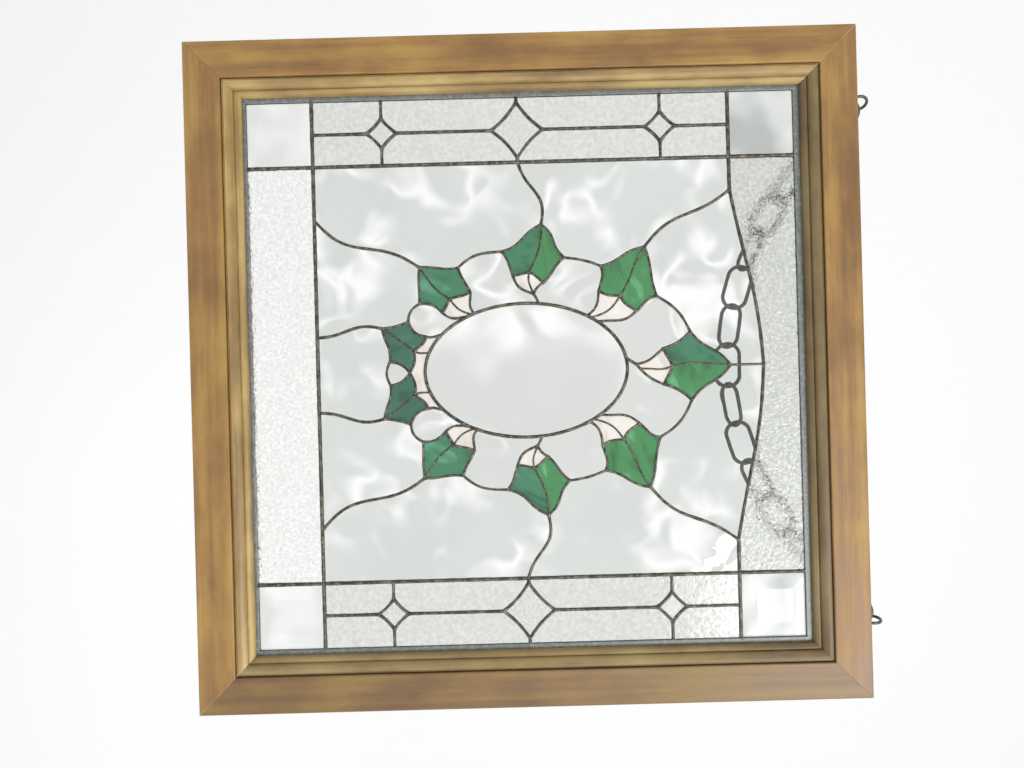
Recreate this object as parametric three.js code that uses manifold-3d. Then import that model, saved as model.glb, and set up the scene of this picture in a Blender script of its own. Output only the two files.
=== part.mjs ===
// A stained glass hanging panel in a square wooden frame: a wreath of nine leaves round an oval,
// side bands with diamonds and stars, bevelled corner squares, screw eyes and a chain behind.
// Millimetres, +Z up, the front facing -Y. The origin is on the back of the top rail, at its middle.
import * as THREE from 'three';
import { mergeVertices } from 'three/addons/utils/BufferGeometryUtils.js';
import Module from 'manifold-3d';

const wasm = await Module();
wasm.setup();

// ---- Driving dimensions -------------------------------------------------------------------------

const GAP = 0.3; // clearance between neighbouring pieces

// Frame, measured outwards from the middle of the window. Depths are y, with the back of the frame at 0.
const HALF = 305; // half the outside size
const FRONT = -36; // front of the rails
const RAIL_INNER = 271.5; // inner edge of the flat face of a rail
const RAIL_LEDGE = 261.5; // inner edge of the ledge behind the moulding
const LEDGE_DEPTH = -23; // depth of the ledge, and the back of the moulding
const EDGE_ROUND = 1.5; // rounding of the outer front edge
const ARRIS = 1.2; // chamfer beside the groove
const ORIGIN_BELOW_TOP = 22; // the origin's distance below the top of the frame

// Moulding inside the rails: a groove, a wide ovolo, a fine groove and a narrow ovolo.
const MOULDING_SIGHT = 255; // inner edge
const QUIRK_WIDTH = 2.4;
const QUIRK_FLOOR = -32.5;
const OVOLO_TOP = -35;
const OVOLO_DROP = 5;
const OVOLO_SPLIT = 261; // where the two ovolos meet
const FINE_GROOVE = 0.8;

// Leaded panel: the came round its edge, the lines between the pieces, and the glass.
const CAME_OUTER = 260;
const SIGHT = 251; // half the glass that shows
const PANEL_SETTLE = 1.2; // how far the panel's edge rests below the middle of the frame
const PANEL_MIDDLE = -20; // depth of the middle of the glass
const CAME_THICK = 5.8;
const LINE_THICK = 5;
const GLASS_THICK = 3;
const BORDER_WIDTH = 3.6;
const OVAL_WIDTH = 3.4;
const VINE_WIDTH = 3.2;
const LEAF_WIDTH = 2.6;

// Stops that hold the panel from behind.
const STOP_SIGHT = 255.5;
const STOP_FRONT = -16.8;
const STOP_BACK = -5;

// The layout of the glass, seen from the front.
const BORDER_X = 191.3; // the upright lines between the field and the side bands
const SILL_Z = -192.3; // the level line above the bottom strip
const SPRING_Z = 190; // the level at which the arch under the top strip springs
const ARCH_HALF = 161;
const ARCH_RISE = 27.3;
const OVAL = { x: 61.5, z: 93, middle: -1 }; // half width, half height, height of its middle
const OVAL_SIDES = 36;
const BAND_X = 221; // the middle line of a side band
const STAR = { z: -4, halfX: 25.5, halfZ: 23.6, hollow: 1.7 };
const DIAMOND = { below: -128.5, above: 127.5, halfX: 13.8, halfZ: 13.8, hollow: 0.8 };

// Corner bevels: plate glass ground down to a thin edge.
const BEVEL_WIDTH = 15;
const BEVEL_EDGE = 2.2;
const BEVEL_THICK = 5;

// Screw eyes in the top edge, and the chain between them.
const EYE_X = 241;
const EYE_Y = -8;
const EYE_RISE = 10.5; // ring's middle above the top edge
const EYE_RADIUS = 7.6;
const EYE_WIRE = 1.4;
const SHANK_LENGTH = 14;
const PILOT_RADIUS = 1.8;
const EYE_TURN = { left: -35, right: 12 }; // degrees that each ring is turned from side-on
const LINK = { length: 44.5, width: 26, wire: 3.6 };
const LINK_SINK = 0.6; // how far linked wires press into each other
const HANGING_LINKS = 13;
const FIRST_LINK = { x: 0.6, y: 0.62, z: -0.5 }; // way the first link leans over the edge
const FIRST_HOLD = 2.5; // how far its wire lies off the middle of the ring
const LINK_ROLLS = [10, 50, 14, 65]; // how far the links are turned away from face-on, over and over

// The wreath's right half, as points [x, z]. Each leaf runs from its tip round by the shoulder and base
// on its lower side, the notch, and the base and shoulder on its upper side.
const LEAVES = {
  top: {
    tip: [0, 187], shoulderA: [31.5, 150.5], baseA: [16.5, 125.5],
    notch: [0, 133], baseB: [-16.5, 125.5], shoulderB: [-31.5, 150.5],
    bends: [[0, 1.6], [-2.1, 0], [0, 0.4], [0, -0.4], [-2.1, 0], [0, -1.6]], midrib: [2.4, 0.5],
  },
  upper: {
    tip: [110.5, 110.5], shoulderA: [94, 70], baseA: [71, 67.5],
    notch: [66, 87], baseB: [51.5, 101.5], shoulderB: [65, 120.5],
    bends: [[0.5, 1.3], [-2, -0.4], [1.9, 0.2], [1.9, 0.4], [-1.8, 0.6], [0.3, -0.8]], midrib: [-0.3, 1],
  },
  side: {
    tip: [133.5, 16], shoulderA: [109.5, -20.5], baseA: [87, -11],
    notch: [90, 4], baseB: [80, 17], shoulderB: [102.5, 36.5],
    bends: [[-1, 1.6], [-1, -0.3], [0.4, 0], [-0.4, -0.2], [-0.4, 0.7], [0.8, -1.6]], midrib: [3.5, -0.3],
  },
  lower: {
    tip: [97, -97], shoulderA: [63.5, -97.5], baseA: [54.5, -76.5],
    notch: [67, -69.5], baseB: [73, -50.5], shoulderB: [95.5, -61.5],
    bends: [[0.5, 0.2], [-3.1, 0], [0, 0], [0.6, -0.4], [-0.5, 0.3], [-0.5, -0.6]], midrib: [-2.8, -0.3],
  },
  bottom: {
    tip: [41.5, -132.5], shoulderA: [11, -126], baseA: [0, -108],
    notch: [20, -103.5], baseB: [33, -92], shoulderB: [47, -108.5],
    bends: [[-1.2, 0.8], [-2.5, 0], [2.3, 0], [1.4, -0.5], [-3.5, 0], [-0.9, 0]], midrib: [0.5, 0],
  },
};
const STEM_JOINT = [70, 7.5]; // where the side leaf's petals meet
const STEM_AT = 82; // degrees round the oval from its top
const TOP_JOINT = [-2.8, 100.2]; // where the top leaf's petals meet, off the middle
const TOP_FOLD_END = [1.5, 103.7];
const TOP_STEM_AT = -8;
const PETALS_AT = { upper: [52, 49.5, 44], lower: [124.5, 121.5, 120], bottom: [163, 146] };

// ---- Colours ------------------------------------------------------------------------------------

const FINISH = {
  wood: new THREE.MeshStandardMaterial({ color: 0xa6814f, roughness: 0.45, metalness: 0 }),
  stop: new THREE.MeshStandardMaterial({ color: 0xb08f60, roughness: 0.7, metalness: 0 }),
  solder: new THREE.MeshStandardMaterial({ color: 0x5f5c52, roughness: 0.4, metalness: 0.8 }),
  clear: glassFinish(0xdfe3e0, 0.05),
  rippled: glassFinish(0xd8dcda, 0.08),
  textured: glassFinish(0xeceeea, 0.2),
  green: glassFinish(0x3c7850, 0.12, 0.9),
  cream: glassFinish(0xe4ded2, 0.15, 0.85),
  steel: new THREE.MeshStandardMaterial({ color: 0x4a4640, roughness: 0.5, metalness: 0.9 }),
};

function glassFinish(color, roughness, opacity = 0.35) {
  return new THREE.MeshStandardMaterial({ color, roughness, metalness: 0, opacity, transparent: true });
}

// ---- Solids -------------------------------------------------------------------------------------

// The closed solid of a three.js geometry, for joining and cutting.
function solidOf(geometry) {
  const bare = geometry.clone();
  bare.deleteAttribute('normal');
  bare.deleteAttribute('uv');
  const merged = mergeVertices(bare, 1e-4);
  const vertProperties = new Float32Array(merged.attributes.position.array);
  const triVerts = new Uint32Array(merged.index.array);
  return new wasm.Manifold(new wasm.Mesh({ numProp: 3, vertProperties, triVerts }));
}

function geometryOf(solid) {
  const mesh = solid.getMesh();
  const geometry = new THREE.BufferGeometry();
  geometry.setAttribute('position', new THREE.BufferAttribute(mesh.vertProperties, 3));
  geometry.setIndex(new THREE.BufferAttribute(mesh.triVerts, 1));
  geometry.computeVertexNormals();
  return geometry;
}

function join(solids) {
  return solids.reduce((whole, next) => whole.add(next));
}

// A flat outline in the plane of the window, with or without a hole, given its thickness in depth.
function slab(outline, middle, thick, hole) {
  const shape = new THREE.Shape(outline);
  if (hole) shape.holes.push(new THREE.Path(hole));
  const geometry = new THREE.ExtrudeGeometry(shape, { depth: thick, bevelEnabled: false });
  geometry.rotateX(Math.PI / 2);
  geometry.translate(0, middle + thick / 2, 0);
  return geometry;
}

function square(half) {
  return [[-half, -half], [half, -half], [half, half], [-half, half]].map(([x, z]) => point(x, z));
}

// ---- Lines of the design --------------------------------------------------------------------------

function point(x, z) {
  return new THREE.Vector2(x, z);
}

// A drawn line between two points. bow is how far its middle stands to the left of the straight line,
// and wave is an S-shaped swing about it.
const LINE_TOLERANCE = 1;
function bend(from, to, [bow, wave] = [0, 0]) {
  const a = point(...from);
  const chord = point(...to).sub(a);
  const left = point(-chord.y, chord.x).normalize();
  const stepsFor = (rise) => Math.ceil(Math.sqrt(Math.abs(rise) / LINE_TOLERANCE));
  const waveSteps = Math.abs(wave) < LINE_TOLERANCE ? 1 : 2 * stepsFor(wave);
  const steps = Math.max(1, stepsFor(bow), waveSteps);
  return Array.from({ length: steps + 1 }, (_, i) => {
    const t = i / steps;
    const rise = bow * Math.sin(Math.PI * t) + wave * Math.sin(2 * Math.PI * t);
    return a.clone().addScaledVector(chord, t).addScaledVector(left, rise);
  });
}

// The outline of a strip of one width along a line, its ends run on a little into what they meet.
function strip(line, width) {
  const half = width / 2;
  const ways = line.slice(1).map((p, i) => p.clone().sub(line[i]).normalize());
  const sides = line.map((p, i) => {
    const before = ways[Math.max(i - 1, 0)];
    const after = ways[Math.min(i, ways.length - 1)];
    const along = before.clone().add(after).normalize();
    const reach = half / Math.max(along.dot(after), 0.5);
    const run = i === 0 ? -half * 0.8 : i === line.length - 1 ? half * 0.8 : 0;
    const middle = p.clone().addScaledVector(along, run);
    const across = point(-along.y, along.x).multiplyScalar(reach);
    return [middle.clone().add(across), middle.clone().sub(across)];
  });
  return [...sides.map((side) => side[0]), ...sides.map((side) => side[1]).reverse()];
}

function ovalPoint(degrees, grow = 0) {
  const angle = THREE.MathUtils.degToRad(degrees);
  return [(OVAL.x + grow) * Math.sin(angle), OVAL.middle + (OVAL.z + grow) * Math.cos(angle)];
}

function ovalOutline(grow) {
  return Array.from({ length: OVAL_SIDES }, (_, i) => point(...ovalPoint(-360 * i / OVAL_SIDES, grow)));
}

// A four-pointed star or diamond in a side band, its sides hollowed towards the middle.
function starPoints(z, { halfX, halfZ }) {
  return {
    outer: [BAND_X + halfX, z],
    above: [BAND_X, z + halfZ],
    inner: [BAND_X - halfX, z],
    below: [BAND_X, z - halfZ],
  };
}

// Every line on the right half: `through` lines part two pieces of glass, and `on` lines lie over and
// under pieces that one node holds together. The top leaf's own lines lie in the middle, one of each.
const through = [];
const on = [];
const middleThrough = [];
const middleOn = [];

function leafLines(leaf) {
  const corners = [leaf.tip, leaf.shoulderA, leaf.baseA, leaf.notch, leaf.baseB, leaf.shoulderB, leaf.tip];
  leaf.bends.forEach((bends, i) => through.push([bend(corners[i], corners[i + 1], bends), LEAF_WIDTH]));
  const ribs = leaf === LEAVES.top ? middleOn : on;
  ribs.push([bend(leaf.notch, leaf.tip, leaf.midrib), LEAF_WIDTH * 0.8]);
}

function topPetalLines({ baseA, notch, baseB }) {
  middleThrough.push([bend(baseA, TOP_JOINT, [2.5, 0]), LEAF_WIDTH]);
  middleThrough.push([bend(baseB, TOP_JOINT, [2.5, -0.5]), LEAF_WIDTH]);
  middleThrough.push([bend(TOP_JOINT, ovalPoint(TOP_STEM_AT)), LEAF_WIDTH]);
  middleOn.push([bend(notch, TOP_FOLD_END, [1.6, 0.6]), LEAF_WIDTH]);
}

function wreathLines() {
  const { top, upper, side, lower, bottom } = LEAVES;
  Object.values(LEAVES).forEach(leafLines);
  const between = (from, to, bends) => through.push([bend(from, to, bends), LEAF_WIDTH]);
  const fold = (from, to, bends) => on.push([bend(from, to, bends), LEAF_WIDTH]);
  // petals, from each leaf's bases and notch to the oval
  topPetalLines(top);
  between(upper.baseA, ovalPoint(PETALS_AT.upper[0]), [-3.7, 0.3]);
  fold(upper.notch, ovalPoint(PETALS_AT.upper[1]), [-4.3, 0]);
  between(upper.baseB, ovalPoint(PETALS_AT.upper[2]), [-3.8, -1.1]);
  between(side.baseA, STEM_JOINT, [4, 0.3]);
  fold(side.notch, STEM_JOINT, [2, 0.3]);
  between(side.baseB, STEM_JOINT, [1.3, 0]);
  between(STEM_JOINT, ovalPoint(STEM_AT), [-0.4, 0]);
  between(lower.baseA, ovalPoint(PETALS_AT.lower[0]), [3.3, 0.5]);
  fold(lower.notch, ovalPoint(PETALS_AT.lower[1]), [2.9, 0]);
  between(lower.baseB, ovalPoint(PETALS_AT.lower[2]), [2.3, -0.6]);
  fold(bottom.notch, ovalPoint(PETALS_AT.bottom[0]), [0.9, 0.3]);
  between(bottom.baseB, ovalPoint(PETALS_AT.bottom[1]), [0.9, 0.3]);
  // arcs from leaf to leaf
  between(upper.shoulderB, top.shoulderA, [-4.5, 0]);
  between(side.shoulderB, upper.shoulderA, [-1.5, 0]);
  between(lower.shoulderB, side.shoulderA, [-5.1, -0.4]);
  between(lower.shoulderA, bottom.shoulderB, [3.2, 0]);
  between([0, -129.5], bottom.shoulderA, [-1, 0]);
}

function fieldLines() {
  const { top, upper, side, lower, bottom } = LEAVES;
  const vine = (from, to, bends) => through.push([bend(from, to, bends), VINE_WIDTH]);
  vine([142.5, SILL_Z], lower.tip, [4.5, 5]);
  vine([BORDER_X, -4], side.tip, [-5.4, 3]);
  vine([ARCH_HALF, SPRING_Z], upper.tip, [3.8, -3.1]);
  vine([34.5, SILL_Z], bottom.tip, [-3, 2.1]);
  through.push([bend([0, SPRING_Z + ARCH_RISE], top.tip), LEAF_WIDTH]);
  vine([0, SPRING_Z + ARCH_RISE], [ARCH_HALF, SPRING_Z], [3.3, 1.1]);
}

function borderLines() {
  const border = (from, to) => through.push([bend(from, to), BORDER_WIDTH]);
  border([BORDER_X, -SIGHT - PANEL_SETTLE], [BORDER_X, SIGHT]);
  border([0, SILL_Z], [SIGHT, SILL_Z]);
  border([ARCH_HALF, SPRING_Z], [SIGHT, SPRING_Z]);
}

function bandLines() {
  const star = starPoints(STAR.z, STAR);
  const diamonds = [DIAMOND.below, DIAMOND.above].map((z) => starPoints(z, DIAMOND));
  const [below, above] = diamonds;
  const line = (list, from, to, bow = 0) => list.push([bend(from, to, [bow, 0]), VINE_WIDTH]);
  line(on, [BAND_X, SILL_Z], below.below);
  line(on, below.above, star.below);
  line(on, star.above, above.below);
  line(on, above.above, [BAND_X, SPRING_Z]);
  for (const shape of [...diamonds, star]) {
    const list = shape === star ? through : on;
    const { hollow } = shape === star ? STAR : DIAMOND;
    const z = shape.outer[1];
    line(list, [BORDER_X, z], shape.inner);
    line(list, shape.outer, [SIGHT, z]);
    line(list, shape.inner, shape.below, hollow);
    line(list, shape.below, shape.outer, hollow);
    line(on, shape.outer, shape.above, hollow);
    line(on, shape.above, shape.inner, hollow);
  }
}

function mirrored(line) {
  return line.map((p) => point(-p.x, p.y));
}

// One solid of a set of lines, the lines of the right half repeated on the left.
function bars(lines, middleLines, thick, grow = 0) {
  const left = lines.map(([line, width]) => [mirrored(line), width]);
  return join([...lines, ...left, ...middleLines].map(([line, width]) =>
    solidOf(slab(strip(line, width + grow), PANEL_MIDDLE, thick))));
}

function ovalBar(thick, grow = 0) {
  const half = (OVAL_WIDTH + grow) / 2;
  return solidOf(slab(ovalOutline(half), PANEL_MIDDLE, thick, ovalOutline(-half)));
}

// ---- Pieces ---------------------------------------------------------------------------------------

const window = new THREE.Group();
window.position.z = ORIGIN_BELOW_TOP - HALF;

function add(name, geometry, finish) {
  const mesh = new THREE.Mesh(geometry, finish.clone());
  mesh.name = name;
  window.add(mesh);
  return mesh;
}

// A straight mitred length of a frame, for the top side. The profile gives points as distance from the
// middle of the window and depth, and each end is cut at 45 degrees.
function member(profile, mitreGap) {
  const geometry = new THREE.ExtrudeGeometry(new THREE.Shape(profile), { depth: 1, bevelEnabled: false });
  const place = geometry.attributes.position;
  for (let i = 0; i < place.count; i += 1) {
    const reach = place.getX(i) - mitreGap * Math.SQRT1_2;
    const end = place.getZ(i) > 0.5 ? -1 : 1;
    place.setXYZ(i, end * reach, place.getY(i), place.getX(i));
  }
  return geometry;
}

const SIDES = { top: 0, right: 90, bottom: 180, left: 270 };

function fourSides(name, geometry, finish) {
  for (const [side, degrees] of Object.entries(SIDES)) {
    const turned = geometry.clone().rotateY(THREE.MathUtils.degToRad(degrees));
    add(`${name}_${side}`, turned, finish);
  }
}

function quarter(cx, cy, rx, ry, steps) {
  return Array.from({ length: steps + 1 }, (_, i) => {
    const angle = (i / steps) * Math.PI / 2;
    return point(cx - rx * Math.sin(angle), cy - ry * Math.cos(angle));
  });
}

function railGeometry() {
  const profile = [
    point(HALF, 0),
    point(HALF, FRONT + EDGE_ROUND),
    point(HALF - EDGE_ROUND * 0.3, FRONT + EDGE_ROUND * 0.3),
    point(HALF - EDGE_ROUND, FRONT),
    point(RAIL_INNER + ARRIS, FRONT),
    point(RAIL_INNER, FRONT + ARRIS),
    point(RAIL_INNER, LEDGE_DEPTH),
    point(RAIL_LEDGE, LEDGE_DEPTH),
    point(RAIL_LEDGE, 0),
  ];
  return member(profile, GAP / 2);
}

function mouldingGeometry() {
  const outer = RAIL_INNER - GAP;
  const wall = outer - QUIRK_WIDTH;
  const back = LEDGE_DEPTH - GAP;
  const split = OVOLO_TOP + OVOLO_DROP;
  const bead = OVOLO_SPLIT - FINE_GROOVE;
  const profile = [
    point(outer, back),
    point(outer, QUIRK_FLOOR),
    point(wall, QUIRK_FLOOR),
    ...quarter(wall, split, wall - OVOLO_SPLIT, OVOLO_DROP, 4),
    point(OVOLO_SPLIT - FINE_GROOVE / 2, split + FINE_GROOVE),
    ...quarter(bead, split + OVOLO_DROP, bead - MOULDING_SIGHT, OVOLO_DROP, 3),
    point(MOULDING_SIGHT, back),
  ];
  return member(profile, GAP / 2);
}

// Pilot holes in the top rail for the two screw eyes.
function drilled(geometry) {
  const drill = new THREE.CylinderGeometry(PILOT_RADIUS, PILOT_RADIUS, 2 * (SHANK_LENGTH + 2), 10);
  drill.rotateX(Math.PI / 2);
  return [-EYE_X, EYE_X].reduce((rail, x) => {
    const hole = drill.clone().translate(x, EYE_Y, HALF);
    return rail.subtract(solidOf(hole));
  }, solidOf(geometry));
}

function frame() {
  const rail = railGeometry();
  fourSides('frame', rail, FINISH.wood);
  window.getObjectByName('frame_top').geometry = geometryOf(drilled(rail));
  fourSides('moulding', mouldingGeometry(), FINISH.wood);
  const stopThick = STOP_BACK - STOP_FRONT;
  const stopMiddle = (STOP_BACK + STOP_FRONT) / 2;
  add('back_stop', slab(square(RAIL_LEDGE - GAP), stopMiddle, stopThick, square(STOP_SIGHT)), FINISH.stop);
}

// A square slab of the panel, or a square ring of it, settled in the frame.
function panelSquare(half, thick, hole) {
  const slabShape = slab(square(half), PANEL_MIDDLE, thick, hole && square(hole));
  return solidOf(slabShape.translate(0, 0, -PANEL_SETTLE));
}

function leadLines() {
  const came = panelSquare(CAME_OUTER, CAME_THICK, SIGHT);
  const inside = panelSquare(CAME_OUTER - 1, LINE_THICK);
  const parting = bars(through, middleThrough, LINE_THICK).add(ovalBar(LINE_THICK)).intersect(inside);
  const room = panelSquare(SIGHT, GLASS_THICK + 2 * GAP);
  const lying = bars(on, middleOn, LINE_THICK).intersect(inside).subtract(room);
  return came.add(parting).add(lying);
}

// The sheet of glass cut along the lines: each loose piece is found by a point that it covers.
const SMALLEST_PIECE = 30;
function cutGlass() {
  const sheet = panelSquare(SIGHT - GAP, GLASS_THICK);
  const kerfs = bars(through, middleThrough, GLASS_THICK + 2, 2 * GAP)
    .add(ovalBar(GLASS_THICK + 2, 2 * GAP));
  return sheet.subtract(kerfs).decompose().filter((piece) => piece.volume() > SMALLEST_PIECE);
}

function covers(piece, x, z) {
  const { vertProperties, triVerts } = piece.getMesh();
  const face = PANEL_MIDDLE - GLASS_THICK / 2;
  const spot = new THREE.Vector3(x, 0, z);
  for (let i = 0; i < triVerts.length; i += 3) {
    const indices = Array.from(triVerts.slice(i, i + 3));
    const corners = indices.map((index) => new THREE.Vector3().fromArray(vertProperties, 3 * index));
    const onFace = corners.every((corner) => Math.abs(corner.y - face) < 1e-3);
    const triangle = new THREE.Triangle(...corners.map((corner) => corner.setY(0)));
    if (onFace && triangle.getArea() > 0 && triangle.containsPoint(spot)) return true;
  }
  return false;
}

function middleOf(...points) {
  const sum = points.reduce(([x, z], p) => [x + p[0], z + p[1]], [0, 0]);
  return sum.map((value) => value / points.length);
}

// What each piece of glass is called, its finish, and a point on it in the right half.
function glassPieces() {
  const { top, upper, side, lower, bottom } = LEAVES;
  const both = [];
  const single = [
    ['oval_glass', FINISH.clear, [0, OVAL.middle]],
    ['top_strip_glass', FINISH.textured, [0, SIGHT - 15]],
    ['bottom_strip_glass', FINISH.textured, [0, 15 - SIGHT]],
    ['leaf_top', FINISH.green, [3, 160]],
    ['petals_top', FINISH.cream, [1, 115]],
    ['petals_bottom', FINISH.cream, [0, -100]],
    ['clear_wedge_bottom', FINISH.clear, [0, -121]],
    ['field_bottom', FINISH.rippled, [0, -160]],
  ];
  for (const [name, leaf] of Object.entries({ upper, side, lower, bottom })) {
    both.push([`leaf_${name}`, FINISH.green, middleOf(leaf.tip, leaf.notch)]);
  }
  both.push(['petals_upper', FINISH.cream, middleOf(upper.notch, upper.baseA, ovalPoint(50))]);
  both.push(['petals_side', FINISH.cream, middleOf(side.notch, side.baseA, STEM_JOINT)]);
  both.push(['petals_lower', FINISH.cream, middleOf(lower.notch, lower.baseA, ovalPoint(121))]);
  const gaps = {
    top: [top.shoulderA, top.baseA, upper.baseB, upper.shoulderB],
    upper: [upper.shoulderA, upper.baseA, side.baseB, side.shoulderB],
    side: [side.shoulderA, side.baseA, lower.baseB, lower.shoulderB],
    lower: [lower.shoulderA, lower.baseA, bottom.baseB, bottom.shoulderB],
  };
  for (const [name, corners] of Object.entries(gaps)) {
    both.push([`clear_${name}`, FINISH.clear, middleOf(...corners)]);
  }
  both.push(['field_top', FINISH.rippled, [60, 180]]);
  both.push(['field_upper', FINISH.rippled, [150, 60]]);
  both.push(['field_side', FINISH.rippled, [150, -60]]);
  both.push(['field_lower', FINISH.rippled, [75, -160]]);
  both.push(['band_lower', FINISH.clear, [BAND_X - 15, -160]]);
  both.push(['band_upper', FINISH.clear, [BAND_X - 15, 160]]);
  const names = single.map(([name, finish, spot]) => ({ name, finish, spot }));
  for (const [name, finish, [x, z]] of both) {
    names.push({ name: `${name}_left`, finish, spot: [-x, z] });
    names.push({ name: `${name}_right`, finish, spot: [x, z] });
  }
  return names;
}

// A square of plate glass with a wide bevel on its front, in one corner of the panel.
function cornerBevel(signX, low, high) {
  const insideX = BORDER_X + BORDER_WIDTH / 2 + GAP;
  const width = SIGHT - GAP - insideX;
  const height = high - low;
  const rise = BEVEL_THICK - BEVEL_EDGE;
  const shrink = 1 - 2 * BEVEL_WIDTH / width;
  const back = PANEL_MIDDLE + BEVEL_THICK / 2;
  const crown = new THREE.CylinderGeometry(Math.SQRT1_2, shrink * Math.SQRT1_2, rise, 4);
  crown.rotateY(Math.PI / 4);
  crown.scale(width, 1, height);
  const plate = new THREE.BoxGeometry(width, BEVEL_EDGE + 0.01, height);
  plate.translate(0, rise / 2 + BEVEL_EDGE / 2, 0);
  const place = new THREE.Matrix4().makeTranslation(
    signX * (insideX + width / 2), back - BEVEL_EDGE - rise / 2, (low + high) / 2);
  return geometryOf(solidOf(crown).add(solidOf(plate))).applyMatrix4(place);
}

function glass() {
  const pieces = cutGlass();
  for (const { name, finish, spot } of glassPieces()) {
    const piece = pieces.find((candidate) => covers(candidate, ...spot));
    add(name, geometryOf(piece), finish);
  }
  const lineHalf = BORDER_WIDTH / 2 + GAP;
  for (const [side, sign] of [['left', -1], ['right', 1]]) {
    const upper = cornerBevel(sign, SPRING_Z + lineHalf, SIGHT - GAP - PANEL_SETTLE);
    const lower = cornerBevel(sign, GAP - SIGHT - PANEL_SETTLE, SILL_Z - lineHalf);
    add(`corner_bevel_upper_${side}`, upper, FINISH.clear);
    add(`corner_bevel_lower_${side}`, lower, FINISH.clear);
  }
}

// ---- Screw eyes and chain -------------------------------------------------------------------------

const EYE_Z = HALF + EYE_RISE;

function screwEye(x, turn) {
  const ring = new THREE.TorusGeometry(EYE_RADIUS, EYE_WIRE, 5, 12);
  ring.rotateY(Math.PI / 2);
  ring.rotateZ(THREE.MathUtils.degToRad(turn));
  const shankTop = EYE_WIRE - EYE_RADIUS;
  const shankFoot = -EYE_RISE - SHANK_LENGTH;
  const shank = new THREE.CylinderGeometry(EYE_WIRE, EYE_WIRE * 0.6, shankTop - shankFoot, 6);
  shank.rotateX(Math.PI / 2);
  shank.translate(0, 0, (shankTop + shankFoot) / 2);
  return geometryOf(solidOf(ring).add(solidOf(shank))).translate(x, EYE_Y, EYE_Z);
}

// The links between the two leaning end links hang in one upright plane. Every link's slope grows by
// the same step along a hanging chain, and the step is found that spans the distance.
function hangingSlopes(span, pitch) {
  const middle = (HANGING_LINKS - 1) / 2;
  const slopes = (step) => Array.from({ length: HANGING_LINKS }, (_, i) => (i - middle) * step);
  const reach = (step) => slopes(step).reduce((sum, slope) => sum + pitch / Math.hypot(1, slope), 0);
  let [low, high] = [0, 2];
  for (let i = 0; i < 40; i += 1) {
    const step = (low + high) / 2;
    if (reach(step) > span) low = step;
    else high = step;
  }
  return slopes(low);
}

// Places along the chain: where each link starts and which way it runs.
function chainLinks() {
  const pitch = LINK.length - 2 * LINK.wire + LINK_SINK;
  const centreLength = LINK.length - LINK.wire;
  const lean = new THREE.Vector3(FIRST_LINK.x, FIRST_LINK.y, FIRST_LINK.z).normalize();
  const pull = new THREE.Vector3(0, lean.y, lean.z).setLength(FIRST_HOLD);
  const links = [];
  const start = new THREE.Vector3(-EYE_X, EYE_Y, EYE_Z).add(pull);
  links.push({ middle: start.clone().addScaledVector(lean, centreLength / 2), way: lean, roll: 0 });
  const at = links[0].middle.clone().addScaledVector(lean, pitch / 2);
  hangingSlopes(-2 * at.x, pitch).forEach((slope, i) => {
    const way = new THREE.Vector3(1, 0, slope).normalize();
    const middle = at.clone().addScaledVector(way, pitch / 2);
    links.push({ middle, way, roll: LINK_ROLLS[i % LINK_ROLLS.length] });
    at.addScaledVector(way, pitch);
  });
  const mirrorX = new THREE.Vector3(-1, 1, 1);
  const end = links[0].middle.clone().multiply(mirrorX);
  links.push({ middle: end, way: lean.clone().multiply(mirrorX).negate(), roll: 0 });
  return links;
}

// An oval link lying along X, as a ring whose halves are drawn apart.
function linkGeometry() {
  const radius = (LINK.width - LINK.wire) / 2;
  const geometry = new THREE.TorusGeometry(radius, LINK.wire / 2, 6, 8);
  const place = geometry.attributes.position;
  const stretch = (LINK.length - LINK.width) / 2;
  for (let i = 0; i < place.count; i += 1) {
    place.setX(i, place.getX(i) + Math.sign(place.getX(i)) * stretch);
  }
  return geometry;
}

function chain() {
  const link = linkGeometry();
  const links = chainLinks();
  const solids = links.map(({ middle, way, roll }, i) => {
    const ends = i === 0 || i === links.length - 1;
    const level = ends ? new THREE.Vector3(1, 0, 0) : new THREE.Vector3(-way.z, 0, way.x);
    const across = level.addScaledVector(way, -level.dot(way)).normalize();
    across.applyAxisAngle(way, THREE.MathUtils.degToRad(roll));
    const normal = new THREE.Vector3().crossVectors(way, across);
    const turn = new THREE.Matrix4().makeBasis(way, across, normal).setPosition(middle);
    return solidOf(link.clone().applyMatrix4(turn));
  });
  return geometryOf(join(solids));
}

// ---- Assembly -------------------------------------------------------------------------------------

borderLines();
fieldLines();
bandLines();
wreathLines();

frame();
add('lead_lines', geometryOf(leadLines()), FINISH.solder);
glass();
add('screw_eye_left', screwEye(-EYE_X, EYE_TURN.left), FINISH.steel);
add('screw_eye_right', screwEye(EYE_X, EYE_TURN.right), FINISH.steel);
add('hanging_chain', chain(), FINISH.steel);

export default window;
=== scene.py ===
"""A stained glass hanging panel: a leaf wreath in a stained wood frame, with its chain."""
import math

import bpy
from mathutils import Matrix, Vector, noise


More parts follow.
